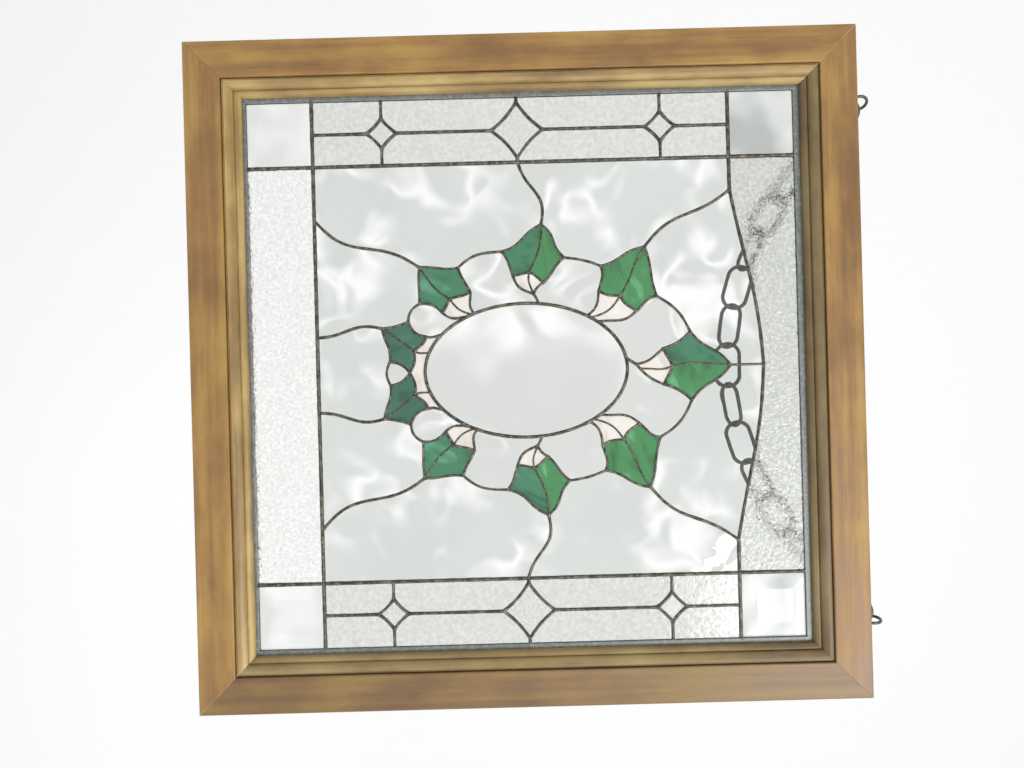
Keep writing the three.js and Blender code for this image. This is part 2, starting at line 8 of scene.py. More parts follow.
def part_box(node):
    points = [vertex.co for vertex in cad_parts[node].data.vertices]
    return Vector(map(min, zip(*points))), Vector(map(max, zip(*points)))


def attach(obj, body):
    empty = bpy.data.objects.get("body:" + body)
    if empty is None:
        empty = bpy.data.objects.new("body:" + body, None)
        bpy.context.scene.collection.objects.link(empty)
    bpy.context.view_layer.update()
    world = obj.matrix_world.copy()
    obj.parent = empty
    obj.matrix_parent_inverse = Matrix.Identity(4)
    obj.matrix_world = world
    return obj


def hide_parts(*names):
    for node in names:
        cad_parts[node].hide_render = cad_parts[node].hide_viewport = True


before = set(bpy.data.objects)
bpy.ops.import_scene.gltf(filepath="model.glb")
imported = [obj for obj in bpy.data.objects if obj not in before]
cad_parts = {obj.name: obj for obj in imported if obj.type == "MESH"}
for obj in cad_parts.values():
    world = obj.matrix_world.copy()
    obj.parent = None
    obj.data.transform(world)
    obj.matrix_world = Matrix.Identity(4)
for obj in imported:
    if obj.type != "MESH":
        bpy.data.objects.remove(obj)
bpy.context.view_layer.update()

# ---- Sizes, in millimetres from the middle of the window: x to the right, z up, y into the depth ----

MM = 0.001
TOP_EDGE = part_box("frame_top")[1].z / MM
HALF = 305.0
RISE_TO_ROW = TOP_EDGE - HALF  # height of the window's middle in the row's frame

FRONT = -36.0
RAIL_INNER = 271.5
RAIL_LEDGE = 261.5
LEDGE_DEPTH = -23.0
MOULDING_SIGHT = 255.0
SIGHT = 251.0
CAME_OUTER = 260.0
PANEL_SETTLE = 1.2  # how far the panel's edge rests below the middle of the frame
PANEL_MIDDLE = -20.0
GLASS_THICK = 3.0
GLASS_EDGE = 253.0  # the panes run on inside the came

BORDER_WIDTH = 3.5
OVAL_WIDTH = 3.2
VINE_WIDTH = 2.9
LEAF_WIDTH = 2.5
RIB_WIDTH = 2.0

BORDER_X = 191.3
SILL_Z = -192.3
SPRING_Z = 190.0
ARCH_HALF = 161.0
ARCH_RISE = 27.3
OVAL_X, OVAL_Z, OVAL_MIDDLE = 61.5, 93.0, -1.0
BAND_X = 221.0
STAR = {"z": -4.0, "half_x": 25.5, "half_z": 23.6, "hollow": 1.7}
DIAMOND_BELOW = {"z": -128.5, "half_x": 13.8, "half_z": 13.8, "hollow": 0.8}
DIAMOND_ABOVE = {"z": 127.5, "half_x": 13.8, "half_z": 13.8, "hollow": 0.8}

# Each leaf's six corners, from its tip round by its lower side, and how its edges and midrib bend.
LEAVES = {
    "top": {
        "corners": [(0, 187), (31.5, 150.5), (16.5, 125.5), (0, 133), (-16.5, 125.5), (-31.5, 150.5)],
        "bends": [(0, 1.6), (-2.1, 0), (0, 0.4), (0, -0.4), (-2.1, 0), (0, -1.6)],
        "midrib": (2.4, 0.5),
    },
    "upper": {
        "corners": [(110.5, 110.5), (94, 70), (71, 67.5), (66, 87), (51.5, 101.5), (65, 120.5)],
        "bends": [(0.5, 1.3), (-2, -0.4), (1.9, 0.2), (1.9, 0.4), (-1.8, 0.6), (0.3, -0.8)],
        "midrib": (-0.3, 1),
    },
    "side": {
        "corners": [(133.5, 16), (109.5, -20.5), (87, -11), (90, 4), (80, 17), (102.5, 36.5)],
        "bends": [(-1, 1.6), (-1, -0.3), (0.4, 0), (-0.4, -0.2), (-0.4, 0.7), (0.8, -1.6)],
        "midrib": (3.5, -0.3),
    },
    "lower": {
        "corners": [(97, -97), (63.5, -97.5), (54.5, -76.5), (67, -69.5), (73, -50.5), (95.5, -61.5)],
        "bends": [(0.5, 0.2), (-3.1, 0), (0, 0), (0.6, -0.4), (-0.5, 0.3), (-0.5, -0.6)],
        "midrib": (-2.8, -0.3),
    },
    "bottom": {
        "corners": [(41.5, -132.5), (11, -126), (0, -108), (20, -103.5), (33, -92), (47, -108.5)],
        "bends": [(-1.2, 0.8), (-2.5, 0), (2.3, 0), (1.4, -0.5), (-3.5, 0), (-0.9, 0)],
        "midrib": (0.5, 0),
    },
}
STEM_JOINT = (70, 7.5)
TOP_JOINT = (-2.8, 100.2)
TOP_FOLD_END = (1.5, 103.7)
# Where stems and petals meet the oval, in degrees round from its top.
STEM_AT = 82
TOP_STEM_AT = -8
PETALS_AT = {
    "upper": {"a": 52, "middle": 49.5, "b": 44},
    "lower": {"a": 124.5, "middle": 121.5, "b": 120},
    "bottom": {"middle": 163, "b": 146},
}
# Where the vines of the lower and the bottom leaves stand on the sill.
LOWER_VINE_X = 142.5
BOTTOM_VINE_X = 34.5


def place(x, y, z):
    """A point given in the window's millimetres, in the row's metres."""
    return Vector((x, y, z + RISE_TO_ROW)) * MM


# ---- The drawing: every line of the design as a path of (x, z) points ----

def bend(start, end, bow=0.0, wave=0.0, step=1.6):
    """A drawn line. bow lifts its middle to the left of the straight line, wave swings it in an S."""
    a, b = Vector(start), Vector(end)
    chord = b - a
    left = Vector((-chord.y, chord.x)).normalized()
    count = max(2, round(chord.length / step)) if bow or wave else 1
    path = []
    for i in range(count + 1):
        t = i / count
        rise = bow * math.sin(math.pi * t) + wave * math.sin(2 * math.pi * t)
        path.append(a + chord * t + left * rise)
    return path


def straight(start, end, step=3.0):
    a, b = Vector(start), Vector(end)
    count = max(1, round((b - a).length / step))
    return [a.lerp(b, i / count) for i in range(count + 1)]


def run(*points):
    return [Vector(point) for point in points]


def oval_point(degrees):
    angle = math.radians(degrees)
    return (OVAL_X * math.sin(angle), OVAL_MIDDLE + OVAL_Z * math.cos(angle))


def oval_arc(start, end):
    count = max(1, round(abs(end - start) / 1.5))
    return [Vector(oval_point(start + (end - start) * i / count)) for i in range(count + 1)]


def mirrored(path):
    return [Vector((-p.x, p.y)) for p in path]


def outline_of(*paths):
    """One closed outline from paths that meet end to end, whichever way each of them runs."""
    def near(a, b):
        return (a - b).length < 0.05

    first, second = paths[0], paths[1]
    whole = list(first)
    if not (near(first[-1], second[0]) or near(first[-1], second[-1])):
        whole.reverse()
    for path in paths[1:]:
        ordered = path if near(whole[-1], path[0]) else list(reversed(path))
        whole.extend(ordered[1:])
    if near(whole[0], whole[-1]):
        whole.pop()
    return whole


def leaf_edges(leaf):
    corners = leaf["corners"] + leaf["corners"][:1]
    names = ("tip_to_a", "a_to_base", "base_to_notch", "notch_to_b", "b_to_shoulder", "shoulder_to_tip")
    edges = {name: bend(corners[i], corners[i + 1], *leaf["bends"][i]) for i, name in enumerate(names)}
    edges["rib"] = bend(leaf["corners"][3], leaf["corners"][0], *leaf["midrib"])
    return edges


EDGES = {name: leaf_edges(leaf) for name, leaf in LEAVES.items()}
TIP, SHOULDER_A, BASE_A, NOTCH, BASE_B, SHOULDER_B = range(6)


def corner(leaf, which):
    return LEAVES[leaf]["corners"][which]


def petal_end(leaf, part):
    return oval_point(PETALS_AT[leaf][part])


PETAL_LINES = {
    ("top", "a"): bend(corner("top", BASE_A), TOP_JOINT, 2.5),
    ("top", "middle"): bend(corner("top", NOTCH), TOP_FOLD_END, 1.6, 0.6),
    ("top", "b"): bend(corner("top", BASE_B), TOP_JOINT, 2.5, -0.5),
    ("top", "stem"): bend(TOP_JOINT, oval_point(TOP_STEM_AT)),
    ("upper", "a"): bend(corner("upper", BASE_A), petal_end("upper", "a"), -3.7, 0.3),
    ("upper", "middle"): bend(corner("upper", NOTCH), petal_end("upper", "middle"), -4.3),
    ("upper", "b"): bend(corner("upper", BASE_B), petal_end("upper", "b"), -3.8, -1.1),
    ("side", "a"): bend(corner("side", BASE_A), STEM_JOINT, 4, 0.3),
    ("side", "middle"): bend(corner("side", NOTCH), STEM_JOINT, 2, 0.3),
    ("side", "b"): bend(corner("side", BASE_B), STEM_JOINT, 1.3),
    ("side", "stem"): bend(STEM_JOINT, oval_point(STEM_AT), -0.4),
    ("lower", "a"): bend(corner("lower", BASE_A), petal_end("lower", "a"), 3.3, 0.5),
    ("lower", "middle"): bend(corner("lower", NOTCH), petal_end("lower", "middle"), 2.9),
    ("lower", "b"): bend(corner("lower", BASE_B), petal_end("lower", "b"), 2.3, -0.6),
    ("bottom", "middle"): bend(corner("bottom", NOTCH), petal_end("bottom", "middle"), 0.9, 0.3),
    ("bottom", "b"): bend(corner("bottom", BASE_B), petal_end("bottom", "b"), 0.9, 0.3),
}
ARCS = {
    "top": bend(corner("upper", SHOULDER_B), corner("top", SHOULDER_A), -4.5),
    "upper": bend(corner("side", SHOULDER_B), corner("upper", SHOULDER_A), -1.5),
    "side": bend(corner("lower", SHOULDER_B), corner("side", SHOULDER_A), -5.1, -0.4),
    "lower": bend(corner("lower", SHOULDER_A), corner("bottom", SHOULDER_B), 3.2),
}
CAP_X, CAP_Z = corner("bottom", SHOULDER_A)
CAP = bend((-CAP_X, CAP_Z), (CAP_X, CAP_Z), -3.5)
VINES = {
    "upper": bend((ARCH_HALF, SPRING_Z), corner("upper", TIP), 3.8, -3.1),
    "side": bend((BORDER_X, STAR["z"]), corner("side", TIP), -5.4, 3),
    "lower": bend((LOWER_VINE_X, SILL_Z), corner("lower", TIP), 4.5, 5),
    "bottom": bend((BOTTOM_VINE_X, SILL_Z), corner("bottom", TIP), -3, 2.1),
}
ARCH_CROWN = (0, SPRING_Z + ARCH_RISE)
ARCH = bend(ARCH_CROWN, (ARCH_HALF, SPRING_Z), 3.3, 1.1)
TENDRIL = bend(ARCH_CROWN, corner("top", TIP))


def star_corners(star):
    return {
        "outer": (BAND_X + star["half_x"], star["z"]),
        "above": (BAND_X, star["z"] + star["half_z"]),
        "inner": (BAND_X - star["half_x"], star["z"]),
        "below": (BAND_X, star["z"] - star["half_z"]),
    }


def star_edge(star, start, end):
    """One hollowed side of a star, running against the clock from one corner to the next."""
    corners = star_corners(star)
    return bend(corners[start], corners[end], star["hollow"])


STAR_ROUND = (("outer", "above"), ("above", "inner"), ("inner", "below"), ("below", "outer"))

# ---- Lines with their widths, for the solder ----

def right_lines():
    """The lines of the right half, as (path, width)."""
    lines = []
    for leaf, edges in EDGES.items():
        lines += [(path, RIB_WIDTH if name == "rib" else LEAF_WIDTH) for name, path in edges.items()
                  if (leaf, name) != ("top", "rib")]
    lines += [(path, RIB_WIDTH if key[1] == "middle" else LEAF_WIDTH)
              for key, path in PETAL_LINES.items() if key[0] != "top"]
    lines += [(path, LEAF_WIDTH) for path in ARCS.values()]
    lines += [(path, VINE_WIDTH) for path in VINES.values()]
    lines.append((ARCH, VINE_WIDTH))
    for start, end in (
        ((BORDER_X, -GLASS_EDGE), (BORDER_X, GLASS_EDGE)),
        ((0, SILL_Z), (GLASS_EDGE, SILL_Z)),
        ((ARCH_HALF, SPRING_Z), (GLASS_EDGE, SPRING_Z)),
    ):
        lines.append((straight(start, end), BORDER_WIDTH))
    for star in (DIAMOND_BELOW, STAR, DIAMOND_ABOVE):
        corners = star_corners(star)
        lines.append((straight((BORDER_X, star["z"]), corners["inner"]), VINE_WIDTH))
        lines.append((straight(corners["outer"], (GLASS_EDGE, star["z"])), VINE_WIDTH))
        lines += [(star_edge(star, *ends), VINE_WIDTH) for ends in STAR_ROUND]
    stops = [SILL_Z]
    for star in (DIAMOND_BELOW, STAR, DIAMOND_ABOVE):
        stops += [star["z"] - star["half_z"], star["z"] + star["half_z"]]
    stops.append(SPRING_Z)
    for low, high in zip(stops[::2], stops[1::2]):
        lines.append((straight((BAND_X, low), (BAND_X, high)), VINE_WIDTH))
    return lines


def middle_lines():
    """The lines that lie in the middle, one of each."""
    lines = [(TENDRIL, RIB_WIDTH), (CAP, LEAF_WIDTH), (EDGES["top"]["rib"], RIB_WIDTH)]
    lines += [(PETAL_LINES["top", part], LEAF_WIDTH) for part in ("a", "b", "stem")]
    lines.append((PETAL_LINES["top", "middle"], RIB_WIDTH))
    return lines


# ---- Finishes ----

class Wire:
    """A node's output socket. Python's arithmetic on it adds Math nodes."""

    def __init__(self, finish, socket):
        self.finish = finish
        self.socket = socket

    def _math(self, operation, *values):
        return self.finish.node("ShaderNodeMath", dict(enumerate(values)), operation=operation)

    def __add__(self, other):
        return self._math("ADD", self, other)

    def __sub__(self, other):
        return self._math("SUBTRACT", self, other)

    def __rsub__(self, other):
        return self._math("SUBTRACT", other, self)

    def __mul__(self, other):
        return self._math("MULTIPLY", self, other)

    def __truediv__(self, other):
        return self._math("DIVIDE", self, other)

    def __pow__(self, other):
        return self._math("POWER", self, other)

    def __abs__(self):
        return self._math("ABSOLUTE", self)

    def max(self, other):
        return self._math("MAXIMUM", self, other)

    def min(self, other):
        return self._math("MINIMUM", self, other)

    __radd__ = __add__
    __rmul__ = __mul__


class Finish:
    """A material with its node tree. Plain values are set on the shader's own sockets."""

    def __init__(self, name, **plain):
        self.material = bpy.data.materials.new(name)
        self.material.use_nodes = True
        self.tree = self.material.node_tree
        self.shader = self.tree.nodes["Principled BSDF"]
        for socket, value in plain.items():
            self.shader.inputs[socket.replace("_", " ")].default_value = value

    def node(self, kind, sockets=None, output=0, **settings):
        made = self.tree.nodes.new(kind)
        for setting, value in settings.items():
            if setting == "ramp":
                stops = made.color_ramp.elements
                while len(stops) < len(value):
                    stops.new(0.5)
                for stop, (position, colour) in zip(stops, value):
                    stop.position = position
                    stop.color = colour
            else:
                setattr(made, setting, value)
        for socket, value in (sockets or {}).items():
            if isinstance(value, Wire):
                self.tree.links.new(value.socket, made.inputs[socket])
            else:
                made.inputs[socket].default_value = value
        return Wire(self, made.outputs[output])

    def place(self, scale=(1, 1, 1), turn=(0, 0, 0), shift=(0, 0, 0)):
        where = self.node("ShaderNodeTexCoord", output="Object")
        turned = self.node("ShaderNodeMapping", {"Vector": where, "Rotation": turn, "Location": shift})
        return self.node("ShaderNodeVectorMath", {0: turned, 1: scale}, operation="MULTIPLY")

    def noise(self, where, scale=1.0, detail=2.0, roughness=0.5, distortion=0.0):
        values = {"Vector": where, "Scale": scale, "Detail": detail, "Roughness": roughness,
                  "Distortion": distortion}
        return self.node("ShaderNodeTexNoise", values)

    def span(self, value, low, high, to_low=0.0, to_high=1.0):
        """value taken from low..high to to_low..to_high, held at the ends."""
        values = {"Value": value, "From Min": low, "From Max": high, "To Min": to_low, "To Max": to_high}
        return self.node("ShaderNodeMapRange", values, interpolation_type="SMOOTHSTEP")

    def mix(self, amount, first, second):
        return self.node("ShaderNodeMix", {0: amount, 6: first, 7: second}, output=2, data_type="RGBA")

    def bump(self, height, depth_mm, strength=1.0, under=None):
        values = {"Height": height, "Distance": depth_mm * MM, "Strength": strength}
        if under is not None:
            values["Normal"] = under
        return self.node("ShaderNodeBump", values)

    def paint(self, **wires):
        for socket, wire in wires.items():
            self.tree.links.new(wire.socket, self.shader.inputs[socket.replace("_", " ")])
        return self.material


def rgb(red, green, blue):
    """A colour given as it looks on a screen, 0 to 255, in the linear values that a shader takes."""
    def linear(part):
        part /= 255
        return part / 12.92 if part <= 0.04045 else ((part + 0.055) / 1.055) ** 2.4

    return (linear(red), linear(green), linear(blue), 1.0)


def stained_wood(name, along, seed, light, middle, dark):
    """Stained softwood with its grain along x or z, blotchy where the stain took unevenly."""
    finish = Finish(name, Coat_Weight=0.15, Coat_Roughness=0.3)
    lengthwise = (1, 0, 0) if along == "x" else (0, 0, 1)

    def grain_scale(length, width):
        return tuple(length if axis else width for axis in lengthwise)

    shift = (seed * 1.7, seed * 0.9, seed * 2.3)
    blotch = finish.noise(finish.place(grain_scale(12, 26), shift=shift), detail=4, roughness=0.6)
    warp = finish.noise(finish.place(grain_scale(3, 9), shift=shift), detail=2)
    rings = finish.node("ShaderNodeTexWave", {
        "Vector": finish.place(grain_scale(0.7, 26), shift=shift), "Scale": 1.0, "Distortion": 7.0,
        "Detail": 3.0, "Detail Scale": 1.2, "Detail Roughness": 0.6,
    }, wave_type="BANDS", bands_direction="DIAGONAL")
    pores = finish.noise(finish.place(grain_scale(14, 620), shift=shift), detail=4, roughness=0.65)
    streaks = finish.noise(finish.place(grain_scale(5, 130), shift=shift), detail=3, roughness=0.6)
    tone = blotch * 0.5 + rings * 0.05 + streaks * 0.3 + warp * 0.2
    colour = finish.mix(finish.span(tone, 0.38, 0.56), dark, middle)
    colour = finish.mix(finish.span(tone, 0.50, 0.66), colour, light)
    flecks = finish.span(pores, 0.60, 0.74) * 0.45
    colour = finish.mix(flecks, colour, tuple(part * 0.45 for part in dark[:3]) + (1.0,))
    height = pores * 0.5 + streaks * 0.5
    return finish.paint(
        Base_Color=colour,
        Roughness=finish.span(blotch, 0.3, 0.7, 0.38, 0.56),
        Normal=finish.bump(height, 0.25, 0.5),
    )


def bare_wood():
    finish = Finish("bare_wood")
    grain = finish.noise(finish.place((40, 200, 200)), detail=4, roughness=0.6)
    colour = finish.mix(finish.span(grain, 0.3, 0.7), rgb(150, 118, 76), rgb(196, 164, 116))
    return finish.paint(Base_Color=colour, Roughness=finish.span(grain, 0.3, 0.7, 0.6, 0.8),
                        Normal=finish.bump(grain, 0.3, 0.6))


def solder_finish(name, dark, light, metal, bump_mm=0.5):
    """Tinned copper foil under a hand-run bead of solder, dulled to pewter, with bright specks in its colour
    that are partly the solder's own and partly painted glints.
    """
    finish = Finish(name, Metallic=metal)
    lumps = finish.noise(finish.place(), scale=330, detail=3, roughness=0.6)
    # The bright specks in the colour are partly painted glints.
    painted_glint_specks = finish.noise(finish.place(shift=(3, 1, 2)), scale=900, detail=2)
    tone = finish.span(lumps * 0.6 + painted_glint_specks * 0.4, 0.42, 0.66)
    return finish.paint(
        Base_Color=finish.mix(tone, dark, light),
        Roughness=finish.span(lumps, 0.3, 0.7, 0.32, 0.55),
        Normal=finish.bump(lumps, bump_mm, 0.7),
    )


def clear_glass(name, tint, painted_caustic_colour, scale, seed, wave_mm, painted_caustic_low=0.62, turn=0.0):
    """Rolled water glass: broad waves in its surface, with streaks painted into its colour as painted
    caustics where the waves would gather the light, and patches of painted grey shade between them.
    """
    finish = Finish(name, Transmission_Weight=1.0, IOR=1.5, Roughness=0.0)
    where = finish.place(turn=(0, turn, 0), shift=(seed * 1.3, 0, seed * 0.7))
    warp = finish.node("ShaderNodeTexNoise", {"Vector": where, "Scale": scale * 0.6, "Detail": 2.0},
                       output="Color")
    bent = finish.node("ShaderNodeVectorMath", {0: warp, 1: (0.022, 0.022, 0.022)}, operation="MULTIPLY")
    warped = finish.node("ShaderNodeVectorMath", {0: where, 1: bent}, operation="ADD")
    folds = finish.node("ShaderNodeTexNoise", {
        "Vector": warped, "Scale": scale, "Detail": 1.0, "Roughness": 0.4, "Distortion": 0.6,
    })
    ridge = 1 - abs(folds * 2 - 1)
    # Painted caustics: the streaks where the colour is raised towards white.
    bright = finish.span(ridge, painted_caustic_low + 0.22, 1.0) * finish.span(
        finish.noise(where, scale=scale * 0.8, detail=1), 0.42, 0.62)
    # Painted shade: broad patches where the colour is darkened a little.
    shade = finish.span(finish.noise(where, scale=scale * 0.5, detail=3), 0.35, 0.65)
    colour = finish.mix(shade * 0.6, tint, tuple(part * 0.93 for part in tint[:3]) + (1.0,))
    colour = finish.mix(bright, colour, painted_caustic_colour)
    return finish.paint(Base_Color=colour, Normal=finish.bump(folds, wave_mm))


def peened_glass(name, tint, scale, depth_mm, seed, painted_light=(1.0, 1.0, 1.0, 1.0)):
    """Rolled glass with a fine pebbled face, its pebbles' crests lightened in its colour as painted
    highlight.
    """
    finish = Finish(name, Transmission_Weight=1.0, IOR=1.5, Roughness=0.02)
    where = finish.place(shift=(seed, 0, seed * 2))
    pebbles = finish.noise(where, scale=scale, detail=2, roughness=0.5, distortion=0.4)
    broad = finish.noise(where, scale=scale * 0.18, detail=2)
    # Painted highlight: the colour runs from the tint to a lighter colour on the pebbles' crests.
    colour = finish.mix(finish.span(pebbles, 0.35, 0.65), tint, painted_light)
    return finish.paint(Base_Color=colour, Normal=finish.bump(pebbles + broad, depth_mm))


def coloured_glass(name, deep, body, wisp, seed, turn, share=0.55):
    """Streaky opal glass: wisps of a paler colour drawn out in one direction."""
    finish = Finish(name, Roughness=0.12, Transmission_Weight=0.12, IOR=1.5, Coat_Weight=0.3)
    where = finish.place(turn=(0, turn, 0), shift=(seed, 0, seed * 0.6))
    drawn = finish.node("ShaderNodeVectorMath", {0: where, 1: (22, 22, 64)}, operation="MULTIPLY")
    wisps = finish.noise(drawn, scale=1, detail=2, roughness=0.5, distortion=0.8)
    clouds = finish.noise(where, scale=36, detail=2)
    tone = wisps * 0.6 + clouds * 0.4
    colour = finish.mix(finish.span(tone, 0.34, 0.5), deep, body)
    colour = finish.mix(finish.span(tone, share, share + 0.14), colour, wisp)
    ripple = finish.noise(where, scale=110, detail=1)
    return finish.paint(Base_Color=colour, Normal=finish.bump(ripple, 0.35))


def dark_steel():
    finish = Finish("dark_steel", Metallic=0.85)
    rust = finish.noise(finish.place(), scale=160, detail=4, roughness=0.6)
    colour = finish.mix(finish.span(rust, 0.5, 0.72), rgb(88, 86, 80), rgb(96, 78, 60))
    return finish.paint(Base_Color=colour, Roughness=finish.span(rust, 0.3, 0.7, 0.3, 0.55),
                        Normal=finish.bump(rust, 0.2, 0.5))


WOOD_TONES = ((162, 128, 62), (144, 106, 52), (116, 82, 42))
MOULDING_TONES = ((168, 146, 92), (146, 120, 70), (110, 86, 48))
# How much each side's wood is scaled darker or lighter: painted shade, and on the moulding's bottom side
# painted light, for how the light falls on that side of the frame.
WOOD_PAINTED_SHADE = {"top": 0.93, "right": 0.75, "bottom": 0.94, "left": 0.95}
MOULDING_PAINTED_SHADE = {"top": 0.72, "right": 0.82, "bottom": 1.06, "left": 1.0}


# Tones scaled by one side's painted shade.
def shaded(tones, shade):
    return [rgb(*(part * shade for part in tone)) for tone in tones]


GREENS = {
    "bright": ((36, 92, 52), (58, 122, 72), (96, 158, 110)),
    "deep": ((34, 82, 58), (52, 112, 80), (84, 142, 112)),
    "blue": ((28, 70, 54), (44, 94, 74), (76, 124, 98)),
}

# ---- Making pieces ----

def finish_piece(piece, name, material, slot, *nodes):
    """Names a finished piece, gives it its material and ties it to the frame."""
    piece.name = name
    piece.data.name = name
    piece.data.materials.clear()
    piece.data.materials.append(material)
    if nodes:
        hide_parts(*nodes)
    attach(piece, "root")
    return piece


def flat_shape(points):
    """A filled face through the given points, all of it selected in edit mode."""
    bpy.ops.object.select_all(action="DESELECT")
    bpy.ops.mesh.primitive_circle_add(vertices=len(points), fill_type="NGON")
    piece = bpy.context.active_object
    for vertex, point in zip(piece.data.vertices, points):
        vertex.co = point
    bpy.ops.object.mode_set(mode="EDIT")
    bpy.ops.mesh.select_all(action="SELECT")
    return piece


def select_only(piece, kind, wanted):
    """Leaves edit mode with only the edges or faces selected whose corners all pass a test."""
    bpy.ops.object.mode_set(mode="EDIT")
    bpy.ops.mesh.select_mode(type=kind)
    bpy.ops.mesh.select_all(action="DESELECT")
    bpy.ops.object.mode_set(mode="OBJECT")
    parts = piece.data.edges if kind == "EDGE" else piece.data.polygons
    for part in parts:
        part.select = all(wanted(piece.data.vertices[v].co) for v in part.vertices)
    bpy.ops.object.mode_set(mode="EDIT")


def close_up(piece):
    """Turns every face outwards and leaves edit mode."""
    bpy.ops.mesh.select_all(action="SELECT")
    bpy.ops.mesh.normals_make_consistent(inside=False)
    bpy.ops.object.mode_set(mode="OBJECT")
    return piece


def drawn_in(outline, by):
    """An outline moved inwards all round."""
    area = sum(a.x * b.y - b.x * a.y for a, b in zip(outline, outline[1:] + outline[:1]))
    side = by if area > 0 else -by
    moved = []
    for before, here, after in zip(outline[-1:] + outline[:-1], outline, outline[1:] + outline[:1]):
        way_in = (here - before).normalized()
        way_out = (after - here).normalized()
        along = way_in + way_out
        along = along.normalized() if along.length > 0.2 else way_out
        reach = side / max(0.5, along.dot(way_out))
        moved.append(here + Vector((-along.y, along.x)) * reach)
    return moved


PANE_GAP = 0.5  # between a pane's edge and the middle of its line


def pane(name, outline, material, slot, node, thick=GLASS_THICK):
    """A pane of glass of one outline."""
    half = thick / 2
    flat = [place(p.x, PANEL_MIDDLE - half, p.y) for p in drawn_in(outline, PANE_GAP)]
    piece = flat_shape(flat)
    bpy.ops.mesh.extrude_region_move(TRANSFORM_OT_translate={"value": (0, thick * MM, 0)})
    return finish_piece(close_up(piece), name, material, slot, node)


MITRE_SPARE = 5.0  # how much longer a length is than the frame before its ends are cut


def member(profile, mitre_gap):
    """A length of frame for the top side, of a profile given as (distance from the middle, depth),
    cut at 45 degrees at both ends."""
    reach = HALF + MITRE_SPARE
    piece = flat_shape([place(-reach, depth, u) for u, depth in profile])
    bpy.ops.mesh.extrude_region_move(TRANSFORM_OT_translate={"value": (2 * reach * MM, 0, 0)})
    middle = place(0, 0, 0)
    for sign in (-1, 1):
        cut = middle + Vector((0, 0, mitre_gap * MM))
        bpy.ops.mesh.select_all(action="SELECT")
        bpy.ops.mesh.bisect(plane_co=cut, plane_no=(sign, 0, -1), clear_outer=True, use_fill=True)
    return close_up(piece)


SIDES = {"top": 0, "right": 90, "bottom": 180, "left": 270}


def turned_copy(piece, degrees):
    """A copy with its own mesh, turned about the window's middle."""
    copy = piece.copy()
    copy.data = piece.data.copy()
    bpy.context.collection.objects.link(copy)
    middle = place(0, 0, 0)
    turn = Matrix.Translation(middle) @ Matrix.Rotation(math.radians(degrees), 4, "Y")
    copy.data.transform(turn @ Matrix.Translation(-middle))
    return copy


def four_sides(first, name, materials, slot):
    for side, degrees in SIDES.items():
        copy = turned_copy(first, degrees)
        finish_piece(copy, f"{name}_{side}_wood", materials[side], slot, f"{name}_{side}")
    bpy.data.objects.remove(first)


def quarter_round(centre_u, centre_y, reach_u, reach_y, steps):
    points = []
    for i in range(steps + 1):
        angle = math.pi / 2 * i / steps
        points.append((centre_u - reach_u * math.sin(angle), centre_y - reach_y * math.cos(angle)))
    return points


def side_woods(kind, tones, painted_shades, first_seed):
    """A wood for each side of the frame, its grain along that side, its tones darkened or lightened by that
    side's painted shade.
    """
    return {side: stained_wood(f"{kind}_{side}", "x" if side in ("top", "bottom") else "z",
                               seed, *shaded(tones, painted_shades[side]))
            for seed, side in enumerate(SIDES, start=first_seed)}


def rails():
    outer, inner, ease = 1.6, 1.3, 0.8  # how far the front's two edges are rounded and the back's is eased
    outer_edge = [(HALF - outer + outer * math.cos(a), FRONT + outer - outer * math.sin(a))
                  for a in (math.pi / 2 * i / 5 for i in range(6))]
    inner_edge = [(RAIL_INNER + inner - inner * math.sin(a), FRONT + inner - inner * math.cos(a))
                  for a in (math.pi / 2 * i / 4 for i in range(5))]
    profile = [(HALF, -ease), (HALF - ease, 0), (RAIL_LEDGE, 0), (RAIL_LEDGE, LEDGE_DEPTH),
               (RAIL_INNER, LEDGE_DEPTH)]
    profile += list(reversed(inner_edge)) + list(reversed(outer_edge))
    first = member(profile, 0.1)
    woods = side_woods("stained_wood", WOOD_TONES, WOOD_PAINTED_SHADE, 1)
    four_sides(first, "frame", woods, "stained_wood")


def mouldings():
    """A flat crest, a wide ovolo, a small step and a narrow ovolo that comes down beside the glass."""
    outer = RAIL_INNER - 0.3
    wall = outer - 2.4
    back = LEDGE_DEPTH - 0.3
    crest, crest_edge, ease = -32.9, -32.5, 0.4
    wide_end, narrow_start, ovolo_depth = 261, 260.2, 5
    profile = [(outer, back), (outer, crest_edge), (outer - ease, crest), (wall + ease, crest),
               (wall, crest_edge)]
    profile += quarter_round(wall, -30, wall - wide_end, ovolo_depth, 8)
    profile += [(260.6, -29.2)]
    profile += quarter_round(narrow_start, -25, narrow_start - MOULDING_SIGHT, ovolo_depth, 7)
    profile += [(MOULDING_SIGHT, back)]
    first = member(profile, 0.12)
    woods = side_woods("moulding_wood", MOULDING_TONES, MOULDING_PAINTED_SHADE, 8)
    four_sides(first, "moulding", woods, "stained_wood")


